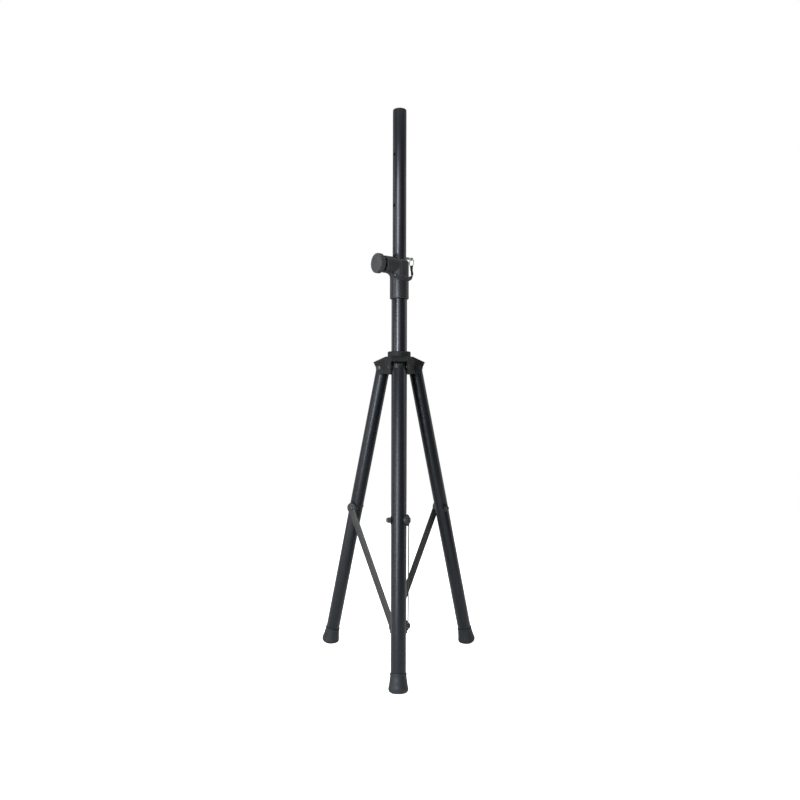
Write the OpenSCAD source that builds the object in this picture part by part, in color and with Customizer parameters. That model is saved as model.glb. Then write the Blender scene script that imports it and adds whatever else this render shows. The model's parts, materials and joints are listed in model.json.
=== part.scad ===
// Speaker tripod stand, drawn partly opened. Millimetres, +Z up.
// The origin is on the floor under the pole. The front leg points along -Y.
// Each leg hangs from a sliding hub and is pushed out by a strut from a collar fixed to the tube.

/* [Pole] */
// Outside diameter of the sliding upper tube, the usual speaker socket size
upper_od = 35; // [30:0.5:35]
// Outside diameter of the fixed lower tube
lower_od = 40; // [40:0.5:42]
// Wall of every tube
tube_wall = 1.5; // [1.2:0.1:2]
// Height of the top of the pole
pole_top_z = 1397; // [1300:1:1500]
// Height of the bottom end of the upper tube, inside the lower tube
upper_bottom_z = 385; // [330:1:420]
// Height of the bottom end of the lower tube
lower_bottom_z = 60; // [56:1:64]
// Distance between the height holes of the upper tube
hole_pitch = 130; // [100:1:150]
// Diameter of the height holes
hole_d = 8.2; // [7.4:0.1:10]

/* [Clamp collar] */
// Height of the top of the clamp collar
clamp_top_z = 1013; // [1000:1:1016]
// Height of the bottom of the clamp collar
clamp_bottom_z = 913.5; // [900:0.5:930]
// Outside diameter of the clamp collar
clamp_d = 48.4; // [47:0.1:52]
// Direction of the clamp knob, seen from above, from +X towards +Y
clamp_azimuth = 215; // [200:1:230]
// Height of the clamp knob's axis
clamp_knob_z = 998; // [990:0.5:1000]
// Height and width of the sloped shoulder round the top of the clamp collar
clamp_shoulder = 5; // [2:0.1:5.5]
// Diameter of the boss that carries the clamp screw
clamp_boss_d = 43; // [36:1:44]
// Distance of the boss's end face from the pole axis
clamp_boss_end = 48; // [44:1:52]
// Diameter of the clamp knob
clamp_knob_d = 50; // [40:1:56]

/* [Safety pin] */
// Height of the safety pin, just above the clamp collar
pin_z = 1020.6; // [1020:0.1:1022]
// Diameter of the safety pin
pin_d = 7; // [5:0.1:7.2]
// Distance of the pin's ring from the pole axis
pin_ring_r = 38.5; // [37:0.5:42]

/* [Hub] */
// Diameter of the flange on top of the hub
flange_d = 59; // [54:1:62]
// Height of the flange's top face
flange_top_z = 779; // [776:0.5:782]
// Height of the flange's bottom face, where the hoods begin
flange_bottom_z = 766; // [765:0.5:767]
// Distance of a hood's tip from the pole axis
hood_tip_r = 65; // [63:0.5:68]
// Height of a hood's tip
hood_tip_z = 753; // [752:0.5:755]
// Distance of the flat faces between the hoods from the pole axis
web_r = 35.7; // [35:0.1:37]
// Height of the lower edge of the hoods
hood_bottom_z = 722; // [718:1:724]
// Outside width of a hood
hood_w = 42; // [41.6:0.1:46]
// Diameter of the hub's bore, wide enough for the hub to wander as the legs fold
hub_bore_d = 43.8; // [43.6:0.1:44.4]

/* [Legs] */
// Outside diameter of a leg
leg_od = 35; // [32:0.5:35]
// Lean of a leg from the vertical
leg_angle = 12.75; // [12:0.05:13.5]
// Distance of a leg's top pivot from the pole axis
pivot_r = 47.7; // [47:0.1:48.5]
// Height of a leg's top pivot
pivot_z = 738; // [737:0.5:739]
// Distance along a leg from its top pivot to its strut pivot
strut_pivot_s = 376; // [360:1:390]
// Distance along a leg from its top pivot to the rim of its foot
foot_rim_s = 715; // [713:0.5:716]

/* [Struts] */
// Distance of the lower pivot from the pole axis, measured towards the leg
anchor_r = 2.5; // [0:0.5:6]
// Height of the lower pivot
anchor_z = 79; // [76:1:84]
// Distance of the inner face of a strut from the plane of its leg
strut_in = 22.8; // [22.6:0.1:24]
// Thickness of a strut
strut_t = 2.5; // [2:0.1:3]
// Width of a strut
strut_w = 18; // [16:0.5:20]

/* [Hub lock] */
// Height of the hub lock knob's axis
lock_z = 746; // [742:1:748]
// Diameter of the hub lock knob
lock_knob_d = 34; // [28:1:36]

/* [Hidden] */
$fn = 96;

// The legs, by number
FRONT = 0;
RIGHT = 1;
LEFT = 2;

// Colours
tube_black = [0.07, 0.075, 0.09];
plastic_black = [0.16, 0.15, 0.15];
strut_black = [0.13, 0.12, 0.12];
rubber_black = [0.06, 0.06, 0.06];
zinc = [0.72, 0.72, 0.70];
brass = [0.75, 0.62, 0.32];

// Running clearance of a shaft in its hole, on the radius
run = 0.06;
// Clearance between pieces that are fixed to each other
snug = 0.02;
// How far a cut reaches past a face, so that it breaks cleanly through it
eps = 0.5;

upper_r = upper_od / 2;
lower_r = lower_od / 2;
lower_bore_r = lower_r - tube_wall;
leg_r = leg_od / 2;
clamp_r = clamp_d / 2;
boss_r = clamp_boss_d / 2;
lower_top_z = clamp_knob_z - boss_r - 2;
clamp_lip_h = 4;
cap_h = 3;

// Clamp screw, measured along its axis from the pole axis
screw_r = 5;
pad_r = 6;
insert_r = 8;
insert_start = 30;
pad_back = 22;
knob_start = clamp_boss_end + 2.6;
knob_end = knob_start + 21;

// Hub lock screw, measured along its axis from the pole axis
lock_azimuth = 90;
lock_boss_r = 11;
lock_boss_end = 37;
lock_shoe_back = 24.5;
lock_screw_r = 4;
lock_insert_r = 6.5;
lock_knob_start = lock_boss_end + 2;
lock_knob_end = lock_knob_start + 15;

// How deep the screws sit in their knobs
knob_bore_depth = 10;

// Bolts of the leg and strut pivots
bolt_r = 4;
bolt_head_r = 7;
bolt_head_h = 3.2;
nut_r = 7.2;
nut_h = 5;
strut_out = strut_in + strut_t;
cheek_t = 1.8;
sleeve_r = 24.4;
pivot_boss_r = 9;
pivot_boss_t = 1.4;
pivot_face = hood_w / 2 + pivot_boss_t;

strut_top_r = pivot_r + strut_pivot_s * sin(leg_angle);
strut_top_z = pivot_z - strut_pivot_s * cos(leg_angle);
strut_len = norm([strut_top_r - anchor_r, strut_top_z - anchor_z]);
strut_angle = atan2(strut_top_r - anchor_r, strut_top_z - anchor_z);

leg_start_s = 6;
foot_len = 43;
leg_end_s = foot_rim_s + 28;

function leg_azimuth(i) = 270 + 120 * i;

// ---------------------------------------------------------------- frames

// Places children in the frame of a leg: +X outwards, +Y anticlockwise round the pole
module at_leg(i) {
    rotate([0, 0, leg_azimuth(i)]) children();
}

// Places children on a leg's axis: the top pivot is at the origin and +Z runs down the leg
module along_leg(i) {
    at_leg(i) translate([pivot_r, 0, pivot_z]) rotate([0, 180 - leg_angle, 0]) children();
}

// Turns +Z to point outwards from the pole at an azimuth and a height
module outwards(azimuth, z) {
    translate([0, 0, z]) rotate([0, 0, azimuth]) rotate([0, 90, 0]) children();
}

// A cylinder whose axis runs sideways through a leg or strut, from y0 to y1
module sideways(r, y0, y1) {
    translate([0, y0, 0]) rotate([-90, 0, 0]) cylinder(r = r, h = y1 - y0);
}

module tube(r, z0, z1) {
    difference() {
        translate([0, 0, z0]) cylinder(r = r, h = z1 - z0);
        translate([0, 0, z0 - eps]) cylinder(r = r - tube_wall, h = z1 - z0 + 2 * eps);
    }
}

module ring(r_in, r_out, z0, z1) {
    difference() {
        translate([0, 0, z0]) cylinder(r = r_out, h = z1 - z0);
        translate([0, 0, z0 - eps]) cylinder(r = r_in, h = z1 - z0 + 2 * eps);
    }
}

// A solid of revolution with chamfered outer edges
module turned(r, z0, z1, chamfer, top_chamfer = 0) {
    top = max(chamfer, top_chamfer);
    rotate_extrude() polygon([
        [0, z0], [r - chamfer, z0], [r, z0 + chamfer], [r, z1 - top], [r - top, z1], [0, z1]
    ]);
}

// ---------------------------------------------------------------- lower tube

module lower_tube() {
    color(tube_black) difference() {
        tube(lower_r, lower_bottom_z, lower_top_z);
        for (i = [FRONT, RIGHT, LEFT])
            at_leg(i) translate([anchor_r, 0, anchor_z]) sideways(bolt_r + snug, 10, lower_r + eps);
        rivet_holes();
    }
}

module bottom_plug() {
    flange_h = 4;
    stem_h = 10;
    color(plastic_black) union() {
        turned(lower_r, lower_bottom_z - flange_h, lower_bottom_z - snug, 1.5);
        translate([0, 0, lower_bottom_z - 1]) cylinder(r = lower_bore_r - run, h = stem_h);
    }
}

// The collar that the three struts pivot on, with one flat-faced boss for each
module lower_collar() {
    ring_r = strut_in - 0.4;
    anchor_boss_r = 12;
    collar_top = anchor_z + anchor_boss_r;
    color(plastic_black) difference() {
        union() {
            turned(ring_r, lower_bottom_z, collar_top, 1.2);
            for (i = [FRONT, RIGHT, LEFT])
                at_leg(i) translate([anchor_r, 0, anchor_z]) sideways(anchor_boss_r, 4, strut_in - 0.3);
        }
        translate([0, 0, lower_bottom_z - eps])
            cylinder(r = lower_r + snug, h = collar_top - lower_bottom_z + 2 * eps);
        for (i = [FRONT, RIGHT, LEFT])
            at_leg(i) translate([anchor_r, 0, anchor_z]) sideways(bolt_r + snug, 6, strut_in + eps);
    }
}

module strut_anchor_bolts() {
    head_start = strut_out + 1.3;
    head_r = 6.5;
    head_h = 3.6;
    color(zinc) for (i = [FRONT, RIGHT, LEFT])
        at_leg(i) translate([anchor_r, 0, anchor_z]) union() {
            sideways(bolt_r, 9, head_start + 1);
            translate([0, head_start, 0]) rotate([-90, 0, 0]) domed_head(head_r, head_h);
        }
}

module strut_anchor_washers() {
    washer_r = 8;
    color(zinc) for (i = [FRONT, RIGHT, LEFT])
        at_leg(i) translate([anchor_r, 0, anchor_z]) difference() {
            sideways(washer_r, strut_out + 0.15, strut_out + 1.25);
            sideways(bolt_r + snug, strut_in, strut_out + 2);
        }
}

module strut_anchor_nuts() {
    color(zinc) for (i = [FRONT, RIGHT, LEFT])
        at_leg(i) translate([anchor_r, 10, anchor_z]) rotate([-90, 0, 0]) difference() {
            cylinder(r = nut_r, h = nut_h, $fn = 6);
            translate([0, 0, -eps]) cylinder(r = bolt_r + snug, h = nut_h + 2 * eps);
        }
}

// A low domed bolt head, standing on z = 0
module domed_head(r, h) {
    steps = 6;
    rotate_extrude() polygon(concat(
        [[0, 0], [r, 0]],
        [for (k = [0 : steps]) [r * cos(90 * k / steps), h * (0.35 + 0.65 * sin(90 * k / steps))]]
    ));
}

// ---------------------------------------------------------------- clamp collar

module clamp_axis() {
    outwards(clamp_azimuth, clamp_knob_z) children();
}

// The two rivets that fix the clamp collar to the lower tube, at the back
collar_rivet_azimuths = [60, 120];
collar_rivet_z = clamp_bottom_z + 20;
collar_rivet_r = 2.4;

module rivet_holes() {
    for (a = collar_rivet_azimuths)
        outwards(a, collar_rivet_z) cylinder(r = collar_rivet_r + snug, h = clamp_r + eps);
}

// Rounded gusset that runs from the underside of the boss into the collar
module boss_gusset() {
    gusset_r = 12;
    gusset_w = 17;
    sink = 0.8;
    inner_x = lower_r + 1;
    corner_x = clamp_r - sink;
    corner_z = clamp_knob_z - boss_r + sink;
    rotate([0, 0, clamp_azimuth]) rotate([90, 0, 0])
        translate([0, 0, -gusset_w / 2]) linear_extrude(gusset_w) difference() {
            translate([inner_x, corner_z - gusset_r])
                square([corner_x + gusset_r - inner_x, gusset_r + 3]);
            translate([corner_x + gusset_r, corner_z - gusset_r]) circle(r = gusset_r);
        }
}

module clamp_collar() {
    lip_z = clamp_top_z - clamp_lip_h;
    color(plastic_black) difference() {
        union() {
            turned(clamp_r, clamp_bottom_z, clamp_top_z, 1.2, clamp_shoulder);
            clamp_axis() turned(boss_r, 0, clamp_boss_end, 1.2);
            boss_gusset();
        }
        // seat of the lower tube and of the liner
        translate([0, 0, clamp_bottom_z - eps])
            cylinder(r = lower_r + snug, h = lip_z - clamp_bottom_z + eps);
        // passage of the upper tube
        cylinder(r = upper_r + 0.4, h = clamp_top_z + boss_r);
        clamp_axis() cylinder(r = pad_r + run, h = clamp_boss_end);
        clamp_axis() translate([0, 0, insert_start]) cylinder(r = insert_r + snug, h = clamp_boss_end);
        rivet_holes();
        rivet_axis() cylinder(r = rivet_r + snug, h = clamp_boss_end);
    }
}

// Split plastic sleeve between the clamp collar and the upper tube
module collar_liner() {
    liner_z0 = lower_top_z + 1;
    liner_z1 = clamp_top_z - clamp_lip_h - 0.2;
    slit_w = 2;
    color(plastic_black) difference() {
        ring(upper_r + run, lower_r - snug, liner_z0, liner_z1);
        clamp_axis() cylinder(r = pad_r + 0.15, h = clamp_r);
        rotate([0, 0, clamp_azimuth + 180]) translate([0, -slit_w / 2, liner_z0 - eps])
            cube([clamp_r, slit_w, liner_z1 - liner_z0 + 2 * eps]);
    }
}

module collar_rivets() {
    head_r = 4.4;
    head_h = 1.8;
    color(zinc) for (a = collar_rivet_azimuths)
        outwards(a, collar_rivet_z) union() {
            translate([0, 0, lower_bore_r + 0.1]) cylinder(r = collar_rivet_r, h = clamp_r - lower_bore_r);
            translate([0, 0, clamp_r + snug]) domed_head(head_r, head_h);
        }
}

// Brass nut moulded into the boss
module clamp_insert() {
    color(brass) clamp_axis()
        ring(screw_r + snug, insert_r, insert_start + 0.1, clamp_boss_end - 0.5);
}

// Hollow-ended pad that the screw presses against the upper tube
module clamp_pad() {
    color(brass) difference() {
        clamp_axis() translate([0, 0, upper_r - 3]) cylinder(r = pad_r, h = pad_back - upper_r + 3);
        translate([0, 0, clamp_knob_z - 2 * pad_r]) cylinder(r = upper_r + 0.1, h = 4 * pad_r);
    }
}

module clamp_screw() {
    color(zinc) clamp_axis() translate([0, 0, pad_back + snug])
        cylinder(r = screw_r, h = knob_start + knob_bore_depth - 1 - pad_back);
}

// A scalloped round knob whose axis is Z, from z0 at the back to z1 at the face
module knob(d, z0, z1, bore_r, scallops) {
    r = d / 2;
    len = z1 - z0;
    back_r = r * 0.78;
    rim_z = z0 + len * 0.36;
    dish_r = r * 0.66;
    dish = 0.8;
    edge = 1.6;
    scallop_r = r * 0.13;
    difference() {
        rotate_extrude() polygon([
            [0, z0], [r * 0.5, z0], [r * 0.5, z0 + len * 0.1], [back_r, z0 + len * 0.14],
            [r - edge * 0.6, rim_z], [r, rim_z + edge], [r, z1 - edge], [r - edge, z1],
            [dish_r + dish, z1], [dish_r, z1 - dish], [0, z1 - dish]
        ]);
        translate([0, 0, z0 - eps]) cylinder(r = bore_r, h = knob_bore_depth + eps);
        for (k = [0 : scallops - 1])
            rotate([0, 0, 360 * k / scallops]) translate([r + scallop_r * 0.55, 0, z0 + len * 0.2])
                cylinder(r = scallop_r, h = len, $fn = 32);
    }
}

module clamp_knob() {
    color(plastic_black) clamp_axis()
        knob(clamp_knob_d, knob_start, knob_end, screw_r + snug, 18);
}

// ---------------------------------------------------------------- safety pin and lanyard

module pin_axis() {
    outwards(clamp_azimuth - 180, pin_z) children();
}

ring_r = 9.5;
ring_wire = 1;
// The pin's tip stops at the wall of the upper tube, so that the tube is free to slide
pin_tip = upper_r + 0.15;

module safety_pin() {
    eye_r = 4;
    eye_t = 4;
    neck = pin_ring_r - eye_r - 0.5;
    neck_w = 5;
    color(zinc) pin_axis() difference() {
        union() {
            translate([0, 0, pin_tip]) cylinder(r = pin_d / 2, h = neck - pin_tip);
            translate([0, -eye_t / 2, pin_ring_r]) rotate([-90, 0, 0]) cylinder(r = eye_r, h = eye_t);
            translate([-neck_w / 2, -eye_t / 2, neck - 1]) cube([neck_w, eye_t, eye_r]);
        }
        translate([0, -eye_t, pin_ring_r]) rotate([-90, 0, 0])
            cylinder(r = ring_wire + 0.6, h = 2 * eye_t);
    }
}

// The ring hangs below the eye and is free to turn through it
module pin_ring() {
    color(zinc) pin_axis() translate([ring_r, 0, pin_ring_r])
        rotate_extrude() translate([ring_r, 0]) circle(r = ring_wire, $fn = 24);
}

// Course of the lanyard, from the ring (u = 0) round the front of the collar to its rivet (u = 1)
// and a little past it
strap_w = 11;
strap_t = 1.6;
strap_low_z = 963;
ring_azimuth = clamp_azimuth - 180;
ring_bottom_z = pin_z - 2 * ring_r - ring_wire;
rivet_azimuth = clamp_azimuth + 30;
rivet_z = strap_low_z + 8;
rivet_r = 2.2;
strap_end_u = 1.045;
function strap_az(u) = ring_azimuth - u * (ring_azimuth + 360 - rivet_azimuth);
// on the collar, with 0.3 between them
strap_lie_r = clamp_r + 0.3 + strap_t / 2;
strap_top_z = ring_bottom_z - strap_w / 2 - 2;
function strap_rad(u) = strap_lie_r + (pin_ring_r - strap_lie_r) * (1 + cos(min(180, 360 * u))) / 2;
function strap_z(u) = strap_low_z
    + (strap_top_z - strap_low_z) * pow(1 - min(1, u / 0.7), 2)
    + (rivet_z - strap_low_z) * pow(max(0, min(1, u) - 0.75) / 0.25, 2);

module lanyard() {
    steps = 23;
    hole_r = rivet_r + 0.3;
    color(rubber_black) difference() {
        for (k = [0 : steps - 1]) hull() {
            strap_piece(strap_end_u * k / steps);
            strap_piece(strap_end_u * (k + 1) / steps);
        }
        rivet_axis() cylinder(r = hole_r, h = 2 * clamp_r, $fn = 32);
    }
}

module strap_piece(u) {
    rotate([0, 0, strap_az(u)]) translate([strap_rad(u), 0, strap_z(u)])
        cube([strap_t, 1, strap_w], center = true);
}

module rivet_axis() {
    outwards(rivet_azimuth, rivet_z) children();
}

// Rivet that holds the end of the lanyard on the collar
module lanyard_rivet() {
    head_start = strap_rad(1) + strap_t / 2 + 0.15;
    head_r = 4;
    head_h = 1.6;
    color(zinc) rivet_axis() union() {
        translate([0, 0, lower_r + 0.5]) cylinder(r = rivet_r, h = head_start - lower_r);
        translate([0, 0, head_start]) domed_head(head_r, head_h);
    }
}

// ---------------------------------------------------------------- upper tube

module upper_tube() {
    mark_z = pin_z + 6;
    mark_h = 2;
    mark_depth = 0.3;
    holes_below = 3;
    holes_above = 2;
    color(tube_black) difference() {
        tube(upper_r, upper_bottom_z, pole_top_z - cap_h);
        for (k = [-holes_below : holes_above])
            outwards(clamp_azimuth, pin_z + k * hole_pitch)
                cylinder(d = hole_d, h = upper_od + 2 * eps, center = true);
        // scribed ring that marks how far a socket may slide down the pole
        ring(upper_r - mark_depth, upper_r + 1, mark_z, mark_z + mark_h);
    }
}

module top_cap() {
    stem_r = upper_r - tube_wall - run;
    stem_h = 16;
    color(plastic_black) union() {
        turned(upper_r - 0.2, pole_top_z - cap_h + snug, pole_top_z, 1);
        translate([0, 0, pole_top_z - cap_h - stem_h]) cylinder(r = stem_r, h = stem_h + 1);
    }
}

// Plastic bush that guides the bottom of the upper tube inside the lower tube
module upper_tube_glide() {
    bore_r = 9;
    skirt_h = 12;
    stem_h = 24;
    color(plastic_black) union() {
        ring(bore_r, lower_bore_r - run, upper_bottom_z - skirt_h, upper_bottom_z - snug);
        ring(bore_r, upper_r - tube_wall - run, upper_bottom_z - 1, upper_bottom_z + stem_h);
    }
}

// ---------------------------------------------------------------- hub

// Outline of a hood seen from its side; trim makes it smaller all round its outer edges
module hood_outline(trim) {
    polygon([
        [sleeve_r - 3, hood_bottom_z],
        [pivot_r + 1 - trim, hood_bottom_z],
        [hood_tip_r - 8 - trim, hood_tip_z - 15],
        [hood_tip_r - trim, hood_tip_z - 1.1 * trim],
        [flange_d / 2, flange_bottom_z - 1.1 * trim],
        [sleeve_r - 3, flange_bottom_z - 0.3 * trim]
    ]);
}

module hood() {
    rib_w = 1.6;
    rib_h = 1;
    roof_ribs = 4;
    roof_rib_step = hood_w / 9.6;
    cheek_ribs = 6;
    cheek_rib_step = 4.4;
    roof_angle = atan2(flange_bottom_z - hood_tip_z, hood_tip_r - flange_d / 2);
    roof_len = norm([hood_tip_r - flange_d / 2, flange_bottom_z - hood_tip_z]);
    across(hood_w) hood_outline(0);
    for (k = [-roof_ribs : roof_ribs])
        translate([flange_d / 2 - 1, k * roof_rib_step - rib_w / 2, flange_bottom_z])
            rotate([0, roof_angle, 0]) translate([0, 0, -1]) cube([roof_len + 1, rib_w, rib_h + 1]);
    // ribs on both cheeks, parallel to the roof
    intersection() {
        across(hood_w + 2 * rib_h) hood_outline(1.2);
        for (k = [1 : cheek_ribs])
            translate([flange_d / 2, -hood_w, flange_bottom_z]) rotate([0, roof_angle, 0])
                translate([0, 0, -k * cheek_rib_step]) cube([hood_tip_r, 2 * hood_w, rib_w]);
    }
    translate([pivot_r, 0, pivot_z]) sideways(pivot_boss_r, -pivot_face, pivot_face);
}

// Extrudes an outline drawn in the plane of a leg, to a width centred on that plane
module across(width) {
    rotate([90, 0, 0]) translate([0, 0, -width / 2]) linear_extrude(width) children();
}

// Flat-faced web that fills the corner between two hoods, with a sloped shoulder under the flange
module hub_web(hollow) {
    shoulder_z = flange_bottom_z - 6;
    wall = 2.6;
    // half of the face's width, to where it runs into the cheeks of the hoods
    half_w = (web_r * sin(60) - hood_w / 2) / cos(60) + 0.7;
    pocket_w = 2 * half_w - 16;
    difference() {
        across(2 * half_w) polygon([
            [sleeve_r - 3, hood_bottom_z], [web_r, hood_bottom_z], [web_r, shoulder_z],
            [flange_d / 2, flange_bottom_z + 0.2], [sleeve_r - 3, flange_bottom_z + 0.2]
        ]);
        if (hollow) translate([0, 0, hood_bottom_z - eps]) linear_extrude(shoulder_z - wall - hood_bottom_z)
            polygon([
                [sleeve_r + 1, 0], [web_r - wall, -pocket_w / 2], [web_r - wall, pocket_w / 2]
            ]);
    }
}

// Room for the leg inside a hood, open below and at the outer end
module hood_room() {
    room_w = hood_w - 2 * cheek_t;
    roof_t = 3;
    outer = 30;
    roof_drop = (flange_bottom_z - hood_tip_z) / (hood_tip_r - flange_d / 2);
    rotate([90, 0, 0]) translate([0, 0, -room_w / 2]) linear_extrude(room_w) polygon([
        [sleeve_r + 0.8, hood_bottom_z - 10],
        [hood_tip_r + outer, hood_bottom_z - 10],
        [hood_tip_r + outer, hood_tip_z - roof_t - roof_drop * outer],
        [flange_d / 2, flange_bottom_z - roof_t],
        [sleeve_r + 0.8, flange_bottom_z - roof_t]
    ]);
}

module lock_axis() {
    outwards(lock_azimuth, lock_z) children();
}

module hub() {
    height = flange_top_z - hood_bottom_z;
    color(plastic_black) difference() {
        union() {
            translate([0, 0, hood_bottom_z]) cylinder(r = sleeve_r, h = height - 1);
            turned(flange_d / 2, flange_bottom_z - 1, flange_top_z, 1.5);
            for (i = [FRONT, RIGHT, LEFT]) {
                at_leg(i) hood();
                rotate([0, 0, leg_azimuth(i) + 60]) hub_web(leg_azimuth(i) + 60 != lock_azimuth + 360);
            }
            lock_axis() cylinder(r = lock_boss_r, h = lock_boss_end);
        }
        for (i = [FRONT, RIGHT, LEFT]) at_leg(i) {
            hood_room();
            translate([pivot_r, 0, pivot_z]) sideways(bolt_r + snug, -hood_w, hood_w);
        }
        translate([0, 0, hood_bottom_z - eps]) cylinder(d = hub_bore_d, h = height + 2 * eps);
        lock_axis() cylinder(r = lock_screw_r + 0.4, h = lock_boss_end + eps);
        lock_axis() cylinder(r = lock_insert_r + snug, h = lock_boss_end - 6);
    }
}

module hub_pivot_bolts() {
    color(zinc) for (i = [FRONT, RIGHT, LEFT])
        at_leg(i) translate([pivot_r, 0, pivot_z]) union() {
            sideways(bolt_r, -pivot_face - 6, pivot_face + 1);
            translate([0, pivot_face + 0.1, 0]) rotate([-90, 0, 0]) domed_head(bolt_head_r, bolt_head_h);
        }
}

module hub_pivot_nuts() {
    color(zinc) for (i = [FRONT, RIGHT, LEFT])
        at_leg(i) translate([pivot_r, -pivot_face - nut_h - 0.1, pivot_z]) rotate([-90, 0, 0])
            difference() {
                cylinder(r = nut_r, h = nut_h, $fn = 6);
                translate([0, 0, -eps]) cylinder(r = bolt_r + snug, h = nut_h + 2 * eps);
            }
}

// Brass nut held in the boss of the hub lock
module lock_insert() {
    color(brass) lock_axis()
        ring(lock_screw_r + snug, lock_insert_r, lock_shoe_back + 1.2, lock_boss_end - 6.1);
}

// Shoe that the hub lock screw presses against the lower tube
module lock_shoe() {
    color(plastic_black) difference() {
        lock_axis() translate([0, 0, lower_r - 3]) cylinder(r = lock_screw_r, h = lock_shoe_back - lower_r + 3);
        translate([0, 0, lock_z - 2 * lock_screw_r])
            cylinder(r = lower_r + 2, h = 4 * lock_screw_r);
    }
}

module lock_screw() {
    color(zinc) lock_axis() translate([0, 0, lock_shoe_back + snug])
        cylinder(r = lock_screw_r, h = lock_knob_start + knob_bore_depth - 1 - lock_shoe_back);
}

module lock_knob() {
    color(plastic_black) lock_axis()
        knob(lock_knob_d, lock_knob_start, lock_knob_end, lock_screw_r + snug, 12);
}

// ---------------------------------------------------------------- legs

module leg_tube(i) {
    color(tube_black) difference() {
        along_leg(i) tube(leg_r, leg_start_s, leg_end_s);
        along_leg(i) translate([0, 0, strut_pivot_s]) sideways(bolt_r + snug, -leg_od, leg_od);
    }
}

// Plug in the top of a leg: a head as round as the tube, domed over the pivot bolt, on a core inside it
module leg_plug(i) {
    head_r = leg_r - 0.2;
    dome_r = 15.4;
    core_r = leg_r - tube_wall - run;
    core_len = 35;
    // The front leg turns on its bolt; the other two need room, because the hub wanders as it slides
    hole_r = i == FRONT ? bolt_r + run : bolt_r + 3;
    color(plastic_black) along_leg(i) difference() {
        union() {
            intersection() {
                translate([0, 0, -leg_r]) cylinder(r = head_r, h = leg_r + leg_start_s - snug);
                union() {
                    sideways(dome_r, -leg_r, leg_r);
                    rotate([90, 0, 0]) translate([0, 0, -leg_r]) linear_extrude(leg_od) polygon([
                        [-dome_r, 0], [dome_r, 0], [leg_r, leg_start_s + 1], [-leg_r, leg_start_s + 1]
                    ]);
                }
            }
            translate([0, 0, leg_start_s - 1]) cylinder(r = core_r, h = core_len);
        }
        sideways(hole_r, -leg_od, leg_od);
    }
}

// Flared rubber foot, flattened where it stands on the floor
module foot(i) {
    rim_r = 19;
    wide_r = 22.7;
    flutes = 24;
    color(rubber_black) intersection() {
        along_leg(i) translate([0, 0, foot_rim_s]) difference() {
            rotate_extrude() polygon([
                [0, 0], [rim_r - 0.8, 0], [rim_r, 0.8], [rim_r, 4], [rim_r - 0.4, 5],
                [rim_r + 0.5, 13], [rim_r + 1.6, 22], [wide_r - 0.3, 30], [wide_r, 32.5],
                [wide_r, 35], [wide_r - 0.8, 37.6], [wide_r - 2.6, 40],
                [wide_r - 5.2, 41.8], [wide_r - 9, 42.7], [0, foot_len]
            ]);
            translate([0, 0, -eps]) cylinder(r = leg_r + snug, h = leg_end_s - foot_rim_s + eps + 0.1);
            for (k = [0 : flutes - 1])
                rotate([0, 0, 360 * (k + 0.5) / flutes]) translate([wide_r + 0.7, 0, 26])
                    cylinder(r = 1.3, h = 20, $fn = 24);
        }
        translate([-400, -400, 0]) cube([800, 800, 200]);
    }
}

// ---------------------------------------------------------------- struts

// Places children at a strut's lower pivot with +Z running up the strut
module along_strut(i) {
    at_leg(i) translate([anchor_r, 0, anchor_z]) rotate([0, strut_angle, 0]) children();
}

module strut(i) {
    strut_eye_r = 11.5;
    color(strut_black) along_strut(i) difference() {
        union() {
            sideways(strut_eye_r, strut_in, strut_out);
            translate([0, 0, strut_len]) sideways(strut_eye_r, strut_in, strut_out);
            translate([-strut_w / 2, strut_in, 0]) cube([strut_w, strut_t, strut_len]);
        }
        sideways(bolt_r + run, strut_in - eps, strut_out + eps);
        translate([0, 0, strut_len]) sideways(bolt_r + run, strut_in - eps, strut_out + eps);
    }
}

// Plastic saddle that fits the round leg on one side and the flat strut on the other
module strut_saddle(i) {
    saddle_r = 13.6;
    color(plastic_black) along_leg(i) difference() {
        translate([0, 0, strut_pivot_s]) sideways(saddle_r, 9, strut_in - 0.12);
        cylinder(r = leg_r + snug, h = leg_end_s);
        translate([0, 0, strut_pivot_s]) sideways(bolt_r + snug, 0, strut_in);
    }
}

module strut_bolt(i) {
    color(zinc) along_leg(i) translate([0, 0, strut_pivot_s]) union() {
        sideways(bolt_r, -leg_r - 8, strut_out + 1);
        translate([0, strut_out + 0.12, 0]) rotate([-90, 0, 0]) domed_head(bolt_head_r, bolt_head_h);
    }
}

module strut_washer(i) {
    washer_r = 9.5;
    color(zinc) along_leg(i) translate([0, 0, strut_pivot_s]) difference() {
        sideways(washer_r, -leg_r - 1.7, -leg_r - 0.05);
        sideways(bolt_r + snug, -leg_od, 0);
    }
}

module acorn_nut(i) {
    hex_r = 7.4;
    hex_h = 6;
    dome_r = 5.8;
    dome_h = 5;
    color(zinc) along_leg(i) translate([0, -leg_r - 1.75, strut_pivot_s]) rotate([90, 0, 0]) difference() {
        union() {
            cylinder(r = hex_r, h = hex_h, $fn = 6);
            translate([0, 0, hex_h - 0.2]) domed_head(dome_r, dome_h);
        }
        translate([0, 0, -eps]) cylinder(r = bolt_r + snug, h = hex_h + 1 + eps);
    }
}

// ---------------------------------------------------------------- nodes

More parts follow.
